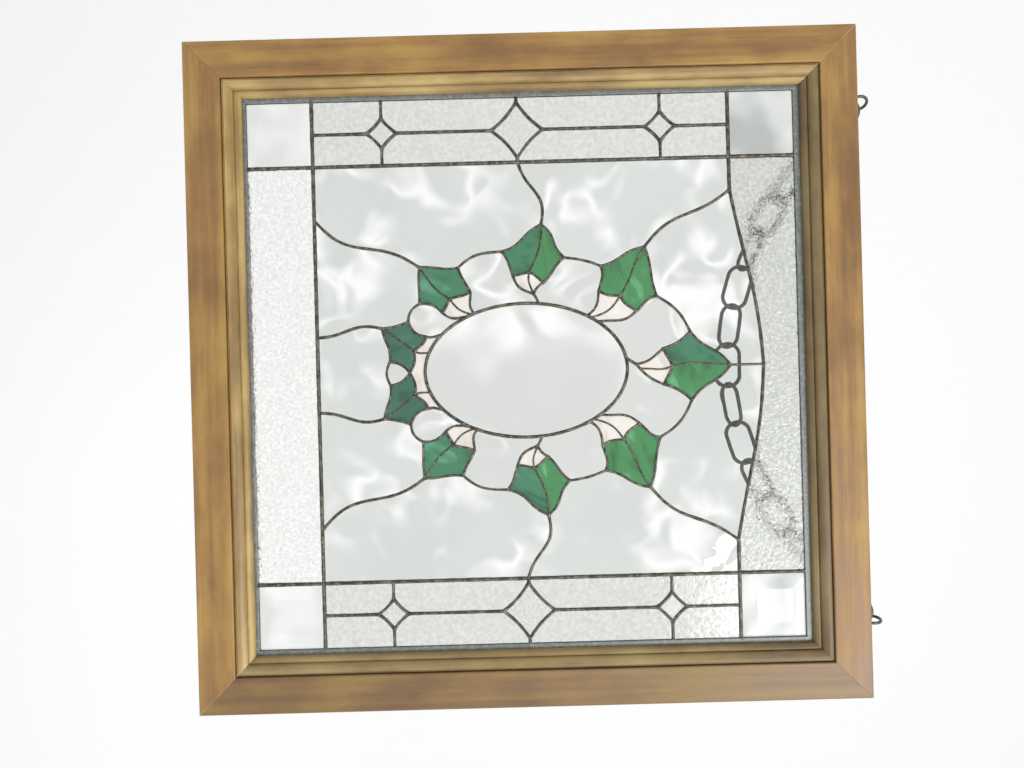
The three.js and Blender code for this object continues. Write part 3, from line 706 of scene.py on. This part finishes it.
def came():
    """The H-shaped came round the panel, four mitred lengths joined in one piece."""
    lip = SIGHT + 0.6
    front, back = -22.9, -17.1
    leaf, slot_end = 1.2, 257  # the thickness of its two leaves, and how far out the glass's slot runs
    heel = CAME_OUTER - 0.4
    profile = [(CAME_OUTER, front + 0.4), (heel, front), (lip, front), (SIGHT, front + 0.5),
               (SIGHT, front + leaf), (slot_end, front + leaf), (slot_end, back - leaf),
               (SIGHT, back - leaf), (SIGHT, back - 0.5), (lip, back), (heel, back),
               (CAME_OUTER, back - 0.4)]
    first = member(profile, 0.0)
    copies = [turned_copy(first, degrees) for degrees in SIDES.values()]
    bpy.data.objects.remove(first)
    bpy.ops.object.select_all(action="DESELECT")
    for copy in copies:
        copy.select_set(True)
    bpy.context.view_layer.objects.active = copies[0]
    bpy.ops.object.join()
    ring = bpy.context.active_object
    ring.data.transform(Matrix.Translation((0, 0, -PANEL_SETTLE * MM)))
    zinc = solder_finish("zinc_came", rgb(104, 108, 106), rgb(140, 142, 140), 0.5, bump_mm=0.15)
    finish_piece(ring, "zinc_came", zinc, "solder", "lead_lines")


BEAD_LIFT = 1.2  # the solder stands this far out from the middle of the glass before it rounds
BEAD_CREST = 2.9
MIDDLE_SEAM = 1e-6


def beads(name, lines, material):
    """Rounded beads of solder along lines, a little uneven, swelling where they meet."""
    bpy.ops.object.select_all(action="DESELECT")
    bpy.ops.curve.primitive_bezier_circle_add(radius=1.0)
    section = bpy.context.active_object
    section.data.resolution_u = 3
    bpy.ops.object.select_all(action="DESELECT")
    bpy.ops.curve.primitive_nurbs_path_add()
    drawing = bpy.context.active_object
    curve = drawing.data
    curve.splines.clear()
    curve.dimensions = "3D"
    curve.twist_mode = "Z_UP"
    curve.bevel_mode = "OBJECT"
    curve.bevel_object = section
    curve.use_fill_caps = True
    for number, (path, width, cyclic) in enumerate(lines):
        spline = curve.splines.new("POLY")
        spline.points.add(len(path) - 1)
        spline.use_cyclic_u = cyclic
        run = 0.0
        total = sum((b - a).length for a, b in zip(path, path[1:]))
        for i, here in enumerate(path):
            if i:
                run += (here - path[i - 1]).length
            end = 0.0 if cyclic else math.exp(-min(run, total - run) / 2.0)
            uneven = noise.noise(Vector((here.x, here.y, number * 3.1)) * 0.16)
            spline.points[i].co = (here.x * MM, here.y * MM, 0, 1)
            spline.points[i].radius = width / 2 * MM * (1 + 0.16 * uneven + 0.22 * end)
    bpy.ops.object.convert(target="MESH")
    bead = bpy.context.active_object
    bpy.data.objects.remove(section)
    turn = Matrix.Translation(place(0, PANEL_MIDDLE, 0)) @ Matrix.Rotation(math.radians(90), 4, "X")
    bead.data.transform(turn)
    bpy.ops.object.mode_set(mode="EDIT")
    close_up(bead)
    bpy.ops.object.shade_smooth()
    middle = PANEL_MIDDLE * MM
    for vertex in bead.data.vertices:
        off = vertex.co.y - middle
        if abs(off) > MIDDLE_SEAM:
            vertex.co.y = middle + math.copysign(min(abs(off) + BEAD_LIFT * MM, BEAD_CREST * MM), off)
    return finish_piece(bead, name, material, "solder", "lead_lines")


def lead_lines():
    lines = []
    for path, width in right_lines():
        lines.append((path, width, False))
        lines.append((mirrored(path), width, False))
    lines += [(path, width, False) for path, width in middle_lines()]
    wide = [line for line in lines if line[1] >= VINE_WIDTH]
    fine = [line for line in lines if line[1] < VINE_WIDTH]
    fine.append((oval_arc(0, 360)[:-1], OVAL_WIDTH, True))
    pewter = solder_finish("pewter_solder", rgb(58, 55, 48), rgb(128, 124, 112), 0.75)
    beads("border_and_vine_beads", wide, pewter)
    beads("wreath_beads", fine, pewter)


def glass():
    # The grey tints of the clear glasses are partly the glass's own and partly painted shade, standing in
    # for the window's shadow on a wall close behind.
    clear = clear_glass("clear_glass", rgb(222, 224, 221), rgb(255, 255, 255), 24, 2, 0.5)
    oval = clear_glass("oval_glass", rgb(222, 224, 221), rgb(255, 255, 255), 15, 5, 0.6, 0.34)
    field = [clear_glass(f"water_glass_{i}", rgb(222, 225, 222), rgb(255, 255, 255), 26, 11 + 3 * i, 0.9,
                         0.44, turn=0.6 * i) for i in range(3)]
    band = peened_glass("seedy_glass", rgb(214, 216, 212), 260, 0.2, 4, rgb(232, 233, 230))
    strip = peened_glass("pebbled_glass", rgb(232, 233, 230), 320, 0.9, 9)
    # The top strip's glass is a darker copy of the pebbled glass: painted shade on that side of the window.
    painted_shade_strip = peened_glass("painted_shade_pebbled_glass", rgb(198, 200, 196), 320, 0.9, 13,
                                rgb(222, 224, 220))
    star = peened_glass("reeded_glass", rgb(210, 212, 208), 420, 0.3, 6, rgb(232, 233, 230))
    greens = {name: coloured_glass(f"green_glass_{name}", *(rgb(*tone) for tone in tones), seed, turn)
              for (name, tones), seed, turn in zip(GREENS.items(), (1, 4, 7), (0.3, 1.1, 2.0))}
    cream = coloured_glass("cream_glass", rgb(196, 190, 182), rgb(212, 207, 200), rgb(224, 221, 214),
                           3, 0.4)

    leaf_tones = {"top": ("bright", "deep"), "upper": ("bright", "bright"), "side": ("deep", "bright"),
                  "lower": ("deep", "deep"), "bottom": ("blue", "blue")}

    def both(name, outline, material, slot, node):
        pane(f"{name}_right", outline, material, slot, f"{node}_right")
        pane(f"{name}_left", mirrored(outline), material, slot, f"{node}_left")

    for leaf, edges in EDGES.items():
        half_a = outline_of(edges["tip_to_a"], edges["a_to_base"], edges["base_to_notch"], edges["rib"])
        half_b = outline_of(edges["notch_to_b"], edges["b_to_shoulder"], edges["shoulder_to_tip"],
                            edges["rib"])
        for part, outline, tone in zip(("a", "b"), (half_a, half_b), leaf_tones[leaf]):
            if leaf == "top":
                pane(f"leaf_top_half_{part}", outline, greens[tone], "green_glass", "leaf_top")
            else:
                both(f"leaf_{leaf}_half_{part}", outline, greens[tone], "green_glass", f"leaf_{leaf}")

    petals(both, cream)
    clear_pieces(both, clear)
    field_pieces(both, field)
    for side, sign in (("right", 1), ("left", -1)):
        band_pieces(side, sign, band, star)
    pane("oval_pane", oval_arc(0, 360)[:-1], oval, "clear_glass", "oval_glass")
    edge = GLASS_EDGE
    top_strip = outline_of(
        list(reversed(mirrored(ARCH))), ARCH,
        run((ARCH_HALF, SPRING_Z), (BORDER_X, SPRING_Z), (BORDER_X, edge), (-BORDER_X, edge),
            (-BORDER_X, SPRING_Z), (-ARCH_HALF, SPRING_Z)))
    pane("top_strip_pane", top_strip, painted_shade_strip, "textured_glass", "top_strip_glass")
    bottom_strip = run((-BORDER_X, -edge), (BORDER_X, -edge), (BORDER_X, SILL_Z), (-BORDER_X, SILL_Z))
    pane("bottom_strip_pane", bottom_strip, strip, "textured_glass", "bottom_strip_glass")


def line(leaf, part):
    return PETAL_LINES[leaf, part]


def petals(both, cream):
    slot = "cream_glass"

    def petal(leaf, part, *paths):
        both(f"petal_{leaf}_{part}", outline_of(*paths), cream, slot, f"petals_{leaf}")

    for leaf in ("upper", "side", "lower"):
        round_a, round_b = [], []
        if leaf in PETALS_AT:
            at = PETALS_AT[leaf]
            round_a.append(oval_arc(at["middle"], at["a"]))
            round_b.append(oval_arc(at["b"], at["middle"]))
        petal(leaf, "a", EDGES[leaf]["base_to_notch"], line(leaf, "middle"), *round_a, line(leaf, "a"))
        petal(leaf, "b", EDGES[leaf]["notch_to_b"], line(leaf, "b"), *round_b, line(leaf, "middle"))
    fold_end = Vector(TOP_FOLD_END)
    before_fold = [p for p in line("top", "a") if p.y > fold_end.y] + [fold_end]
    after_fold = [fold_end] + [p for p in line("top", "a") if p.y < fold_end.y]
    right = outline_of(EDGES["top"]["base_to_notch"], line("top", "middle"), before_fold)
    left = outline_of(EDGES["top"]["notch_to_b"], line("top", "b"), after_fold, line("top", "middle"))
    pane("petal_top_right", right, cream, slot, "petals_top")
    pane("petal_top_left", left, cream, slot, "petals_top")
    at = PETALS_AT["bottom"]
    outer = outline_of(EDGES["bottom"]["notch_to_b"], line("bottom", "b"),
                       oval_arc(at["b"], at["middle"]), line("bottom", "middle"))
    pane("petal_bottom_right", outer, cream, slot, "petals_bottom")
    pane("petal_bottom_left", mirrored(outer), cream, slot, "petals_bottom")
    shared = outline_of(EDGES["bottom"]["base_to_notch"], line("bottom", "middle"),
                        oval_arc(at["middle"], 360 - at["middle"]), mirrored(line("bottom", "middle")),
                        mirrored(EDGES["bottom"]["base_to_notch"]))
    pane("petal_bottom_shared", shared, cream, slot, "petals_bottom")


def clear_pieces(both, clear):
    upper, lower, bottom = PETALS_AT["upper"], PETALS_AT["lower"], PETALS_AT["bottom"]
    top_right = (EDGES["top"]["a_to_base"], line("top", "a"), line("top", "stem"),
                 oval_arc(TOP_STEM_AT, upper["b"]), line("upper", "b"), EDGES["upper"]["b_to_shoulder"],
                 ARCS["top"])
    top_left = (EDGES["top"]["b_to_shoulder"], line("top", "b"), line("top", "stem"),
                oval_arc(TOP_STEM_AT, -upper["b"]), mirrored(line("upper", "b")),
                mirrored(EDGES["upper"]["b_to_shoulder"]), mirrored(ARCS["top"]))
    pane("clear_top_pane_right", outline_of(*top_right), clear, "clear_glass", "clear_top_right")
    pane("clear_top_pane_left", outline_of(*top_left), clear, "clear_glass", "clear_top_left")
    loops = {
        "upper": (EDGES["upper"]["a_to_base"], line("upper", "a"), oval_arc(upper["a"], STEM_AT),
                  line("side", "stem"), line("side", "b"), EDGES["side"]["b_to_shoulder"], ARCS["upper"]),
        "side": (EDGES["side"]["a_to_base"], line("side", "a"), line("side", "stem"),
                 oval_arc(STEM_AT, lower["b"]), line("lower", "b"), EDGES["lower"]["b_to_shoulder"],
                 ARCS["side"]),
        "lower": (EDGES["lower"]["a_to_base"], line("lower", "a"), oval_arc(lower["a"], bottom["b"]),
                  line("bottom", "b"), EDGES["bottom"]["b_to_shoulder"], ARCS["lower"]),
    }
    for name, paths in loops.items():
        both(f"clear_{name}_pane", outline_of(*paths), clear, "clear_glass", f"clear_{name}")
    wedge = outline_of(EDGES["bottom"]["a_to_base"], mirrored(EDGES["bottom"]["a_to_base"]), CAP)
    pane("clear_wedge_pane", wedge, clear, "clear_glass", "clear_wedge_bottom")


def field_pieces(both, field):
    loops = {
        "top": (ARCH, VINES["upper"], EDGES["upper"]["shoulder_to_tip"], ARCS["top"],
                EDGES["top"]["tip_to_a"], TENDRIL),
        "upper": (run((ARCH_HALF, SPRING_Z), (BORDER_X, SPRING_Z), (BORDER_X, STAR["z"])),
                  VINES["side"], EDGES["side"]["shoulder_to_tip"], ARCS["upper"], EDGES["upper"]["tip_to_a"],
                  VINES["upper"]),
        "side": (run((BORDER_X, STAR["z"]), (BORDER_X, SILL_Z), (LOWER_VINE_X, SILL_Z)), VINES["lower"],
                 EDGES["lower"]["shoulder_to_tip"], ARCS["side"], EDGES["side"]["tip_to_a"],
                 VINES["side"]),
        "lower": (run((LOWER_VINE_X, SILL_Z), (BOTTOM_VINE_X, SILL_Z)), VINES["bottom"],
                  EDGES["bottom"]["shoulder_to_tip"], ARCS["lower"], EDGES["lower"]["tip_to_a"],
                  VINES["lower"]),
    }
    for number, (name, paths) in enumerate(loops.items()):
        both(f"field_{name}_pane", outline_of(*paths), field[number % 3], "rippled_glass",
             f"field_{name}")
    bottom = outline_of(run((-BOTTOM_VINE_X, SILL_Z), (BOTTOM_VINE_X, SILL_Z)), VINES["bottom"],
                        EDGES["bottom"]["tip_to_a"], CAP, mirrored(EDGES["bottom"]["tip_to_a"]),
                        mirrored(VINES["bottom"]))
    pane("field_bottom_pane", bottom, field[1], "rippled_glass", "field_bottom")


def band_pieces(side, sign, band, star_glass):
    """The rectangles, diamonds and star of one side band."""
    def finished(name, outline, material, level):
        path = outline if sign > 0 else mirrored(outline)
        pane(f"{name}_{side}", path, material, "clear_glass", f"band_{level}_{side}")

    shapes = (None, DIAMOND_BELOW, STAR, DIAMOND_ABOVE, None)
    levels = (SILL_Z, DIAMOND_BELOW["z"], STAR["z"], DIAMOND_ABOVE["z"], SPRING_Z)
    for i in range(4):
        low, high = shapes[i], shapes[i + 1]
        level = "lower" if i < 2 else "upper"
        for part, edge_x in (("inner", BORDER_X), ("outer", GLASS_EDGE)):
            paths = [run((edge_x, levels[i]), (edge_x, levels[i + 1]))]
            if high:
                corners = star_corners(high)
                paths.append(run((edge_x, levels[i + 1]), corners[part]))
                ends = ("inner", "below") if part == "inner" else ("below", "outer")
                paths.append(star_edge(high, *ends))
                top = corners["below"]
            else:
                top = (BAND_X, levels[i + 1])
                paths.append(run((edge_x, levels[i + 1]), top))
            if low:
                corners = star_corners(low)
                paths.append(run(top, corners["above"]))
                ends = ("above", "inner") if part == "inner" else ("outer", "above")
                paths.append(star_edge(low, *ends))
                paths.append(run(corners[part], (edge_x, levels[i])))
            else:
                paths.append(run(top, (BAND_X, levels[i]), (edge_x, levels[i])))
            finished(f"band_{part}_{i + 1}", outline_of(*paths), band, level)
    for name, shape, level in (("diamond_below", DIAMOND_BELOW, "lower"), ("star", STAR, "upper"),
                               ("diamond_above", DIAMOND_ABOVE, "upper")):
        outline = outline_of(*(star_edge(shape, *ends) for ends in STAR_ROUND))
        finished(name, outline, star_glass, level)


def corner_bevels():
    """Squares of plate glass with a wide bevel ground round the front, their colour mottled with painted
    shade and light, the upper ones darker with painted shade.
    """
    plates = {}
    # The upper plates' two colours are darker as painted shade on that side of the window; the mottle
    # between them is painted shade and light for what the bevels refract.
    for level, deep, painted_light in (("upper", (190, 193, 190), (232, 234, 231)),
                              ("lower", (228, 229, 227), (246, 247, 245))):
        finish = Finish(f"bevelled_plate_{level}", Transmission_Weight=1.0, IOR=1.5, Roughness=0.0)
        shade = finish.noise(finish.place(), scale=22, detail=1)
        colour = finish.mix(finish.span(shade, 0.35, 0.65), rgb(*deep), rgb(*painted_light))
        plates[level] = finish.paint(Base_Color=colour)
    edge_front, back = PANEL_MIDDLE + 0.3, PANEL_MIDDLE + 2.5
    bevel_width, rise = 15, 2.8
    for level, (low, high) in (("upper", (SPRING_Z, GLASS_EDGE)), ("lower", (-GLASS_EDGE, SILL_Z))):
        for side, sign in (("left", -1), ("right", 1)):
            x0, x1 = sorted((sign * (BORDER_X + PANE_GAP), sign * (GLASS_EDGE - PANE_GAP)))
            z0, z1 = low + PANE_GAP, high - PANE_GAP
            corners = [place(x, edge_front, z) for x, z in ((x0, z0), (x1, z0), (x1, z1), (x0, z1))]
            piece = flat_shape(corners)
            bpy.ops.mesh.extrude_region_move(
                TRANSFORM_OT_translate={"value": (0, (back - edge_front) * MM, 0)})
            select_only(piece, "FACE", lambda spot: abs(spot.y / MM - edge_front) < 0.01)
            bpy.ops.mesh.inset(thickness=bevel_width * MM, depth=0)
            bpy.ops.transform.translate(value=(0, -rise * MM, 0))
            finish_piece(close_up(piece), f"bevelled_square_{level}_{side}", plates[level],
                         "clear_glass", f"corner_bevel_{level}_{side}")


# ---- Screw eyes and chain ----

EYE_X, EYE_Y, EYE_Z = 241.0, -8.0, HALF + 10.5
EYE_RADIUS, EYE_WIRE = 7.6, 1.4
SHANK_LENGTH, SHANK_DROP = 18, 8
LINK_LENGTH, LINK_WIDTH, LINK_WIRE = 44.5, 26.0, 3.6
LINK_SINK = 0.6  # how far each link is pressed into the next
HANGING_LINKS = 13
LINK_ROLLS = (10, 50, 14, 65)  # degrees that the links are turned away from face-on, over and over
FIRST_LINK = Vector((0.6, 0.62, -0.5)).normalized()
FIRST_HOLD = 2.5


def screw_eye(side, sign, turn, steel):
    bpy.ops.object.select_all(action="DESELECT")
    bpy.ops.mesh.primitive_torus_add(
        major_segments=40, minor_segments=12, major_radius=EYE_RADIUS * MM, minor_radius=EYE_WIRE * MM,
        rotation=(0, math.pi / 2, 0))
    ring = bpy.context.active_object
    bpy.ops.object.transform_apply()
    bpy.ops.mesh.primitive_cylinder_add(vertices=16, radius=EYE_WIRE * MM, depth=SHANK_LENGTH * MM,
                                        location=(0, 0, -(EYE_RADIUS + SHANK_DROP) * MM))
    bpy.ops.object.mode_set(mode="EDIT")
    bpy.ops.mesh.select_all(action="SELECT")
    bpy.ops.mesh.bevel(offset=0.3 * MM, segments=2)
    bpy.ops.object.mode_set(mode="OBJECT")
    bpy.ops.object.transform_apply()
    ring.select_set(True)
    bpy.context.view_layer.objects.active = ring
    bpy.ops.object.join()
    turned = Matrix.Translation(place(sign * EYE_X, EYE_Y, EYE_Z)) @ Matrix.Rotation(
        math.radians(turn), 4, "Z")
    ring.data.transform(turned)
    bpy.ops.object.shade_smooth_by_angle(angle=math.radians(40))
    finish_piece(ring, f"screw_eye_{side}_wire", steel, "dark_steel", f"screw_eye_{side}")


def hanging_slopes(span, pitch):
    """Slopes of the hanging links: each differs from the next by one step, found from the span."""
    middle = (HANGING_LINKS - 1) / 2

    def reach(step):
        return sum(pitch / math.hypot(1, (i - middle) * step) for i in range(HANGING_LINKS))

    low, high = 0.0, 2.0
    for _ in range(40):
        step = (low + high) / 2
        low, high = (step, high) if reach(step) > span else (low, step)
    return [(i - middle) * low for i in range(HANGING_LINKS)]


def chain_links():
    """Each link's middle, the way it runs, and how far it is rolled about that way."""
    pitch = LINK_LENGTH - 2 * LINK_WIRE + LINK_SINK
    pull = Vector((0, FIRST_LINK.y, FIRST_LINK.z)).normalized() * FIRST_HOLD
    start = Vector((-EYE_X, EYE_Y, EYE_Z)) + pull
    first = start + FIRST_LINK * (LINK_LENGTH - LINK_WIRE) / 2
    links = [(first, FIRST_LINK, 0.0)]
    at = first + FIRST_LINK * pitch / 2
    for i, slope in enumerate(hanging_slopes(-2 * at.x, pitch)):
        way = Vector((1, 0, slope)).normalized()
        links.append((at + way * pitch / 2, way, LINK_ROLLS[i % len(LINK_ROLLS)]))
        at = at + way * pitch
    flip = Vector((-1, 1, 1))
    links.append((first * flip, -(FIRST_LINK * flip), 0.0))
    return links


def one_link():
    """An oval link lying along x: a ring whose two halves are drawn apart."""
    bpy.ops.object.select_all(action="DESELECT")
    radius = (LINK_WIDTH - LINK_WIRE) / 2
    bpy.ops.mesh.primitive_torus_add(major_segments=32, minor_segments=12, major_radius=radius * MM,
                                     minor_radius=LINK_WIRE / 2 * MM)
    link = bpy.context.active_object
    stretch = (LINK_LENGTH - LINK_WIDTH) / 2 * MM
    for vertex in link.data.vertices:
        if abs(vertex.co.x) > 1e-7:
            vertex.co.x += math.copysign(stretch, vertex.co.x)
    bpy.ops.object.shade_smooth()
    return link


def chain(steel):
    pattern = one_link()
    links = chain_links()
    for number, (middle, way, roll) in enumerate(links, start=1):
        ends = number in (1, len(links))
        level = Vector((1, 0, 0)) if ends else Vector((-way.z, 0, way.x))
        across = (level - way * level.dot(way)).normalized()
        across.rotate(Matrix.Rotation(math.radians(roll), 3, way))
        normal = way.cross(across)
        turn = Matrix((way, across, normal)).transposed().to_4x4()
        copy = pattern.copy()
        copy.data = pattern.data.copy()
        bpy.context.collection.objects.link(copy)
        copy.data.transform(Matrix.Translation(place(*middle)) @ turn)
        finish_piece(copy, f"chain_link_{number:02d}", steel, "dark_steel", "hanging_chain")
    bpy.data.objects.remove(pattern)


# ---- Studio ----

def studio():
    finish = Finish("studio_paper", Roughness=0.9)
    finish.shader.inputs["Base Color"].default_value = (0.86, 0.86, 0.86, 1)
    floor_z, wall_y = -1.7, 2.6
    bpy.ops.object.select_all(action="DESELECT")
    bpy.ops.mesh.primitive_plane_add(size=9, location=(0, wall_y - 4.5, floor_z))
    sweep = bpy.context.active_object
    bpy.ops.object.transform_apply()
    select_only(sweep, "EDGE", lambda spot: spot.y > wall_y - 0.01)
    bpy.ops.mesh.extrude_region_move(TRANSFORM_OT_translate={"value": (0, 0, 6)})
    select_only(sweep, "EDGE", lambda spot: spot.y > wall_y - 0.01 and spot.z < floor_z + 0.01)
    bpy.ops.mesh.bevel(offset=0.9, segments=12)
    bpy.ops.object.mode_set(mode="OBJECT")
    bpy.ops.object.shade_smooth()
    sweep.name = "studio_sweep"
    sweep.data.materials.append(finish.material)

    world = bpy.data.worlds.new("studio_air")
    bpy.context.scene.world = world
    world.use_nodes = True
    world.node_tree.nodes["Background"].inputs["Color"].default_value = (0.99, 1.0, 0.992, 1)
    world.node_tree.nodes["Background"].inputs["Strength"].default_value = 1.05

    def softbox(name, location, aim, size, power):
        light = bpy.data.lights.new(name, "AREA")
        light.shape = "RECTANGLE"
        light.size, light.size_y = size
        light.energy = power
        holder = bpy.data.objects.new(name, light)
        bpy.context.collection.objects.link(holder)
        holder.location = location
        holder.rotation_euler = (Vector(aim) - Vector(location)).to_track_quat("-Z", "Y").to_euler()

    softbox("key_softbox", (0.9, -1.4, 0.7), (0, 0, -0.28), (1.2, 1.0), 24)
    softbox("fill_softbox", (1.4, -1.6, -0.4), (0, 0, -0.28), (1.0, 1.6), 6)


CAMERA_ROLL = 1.535  # degrees past lying on its side
CAMERA_AT = (12.4, FRONT - 838, -14.5)
LENS = 32.625


def camera():
    """The camera lies on its side, so that the window's top is on the right."""
    roll = math.radians(CAMERA_ROLL)
    across = Vector((math.sin(roll), 0, math.cos(roll)))
    up = Vector((-math.cos(roll), 0, math.sin(roll)))
    back = Vector((0, -1, 0))
    data = bpy.data.cameras.new("camera")
    data.sensor_width = 36
    data.lens = LENS
    holder = bpy.data.objects.new("camera", data)
    bpy.context.collection.objects.link(holder)
    turn = Matrix((across, up, back)).transposed().to_4x4()
    holder.matrix_world = Matrix.Translation(place(*CAMERA_AT)) @ turn
    bpy.context.scene.camera = holder


# ---- The window ----

camera()
rails()
mouldings()
came()
lead_lines()
glass()
corner_bevels()
steel = dark_steel()
screw_eye("left", -1, -35, steel)
screw_eye("right", 1, 12, steel)
chain(steel)
stop_wood = bare_wood()
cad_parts["back_stop"].data.materials.clear()
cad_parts["back_stop"].data.materials.append(stop_wood)
studio()
bpy.context.scene.view_settings.view_transform = "Standard"
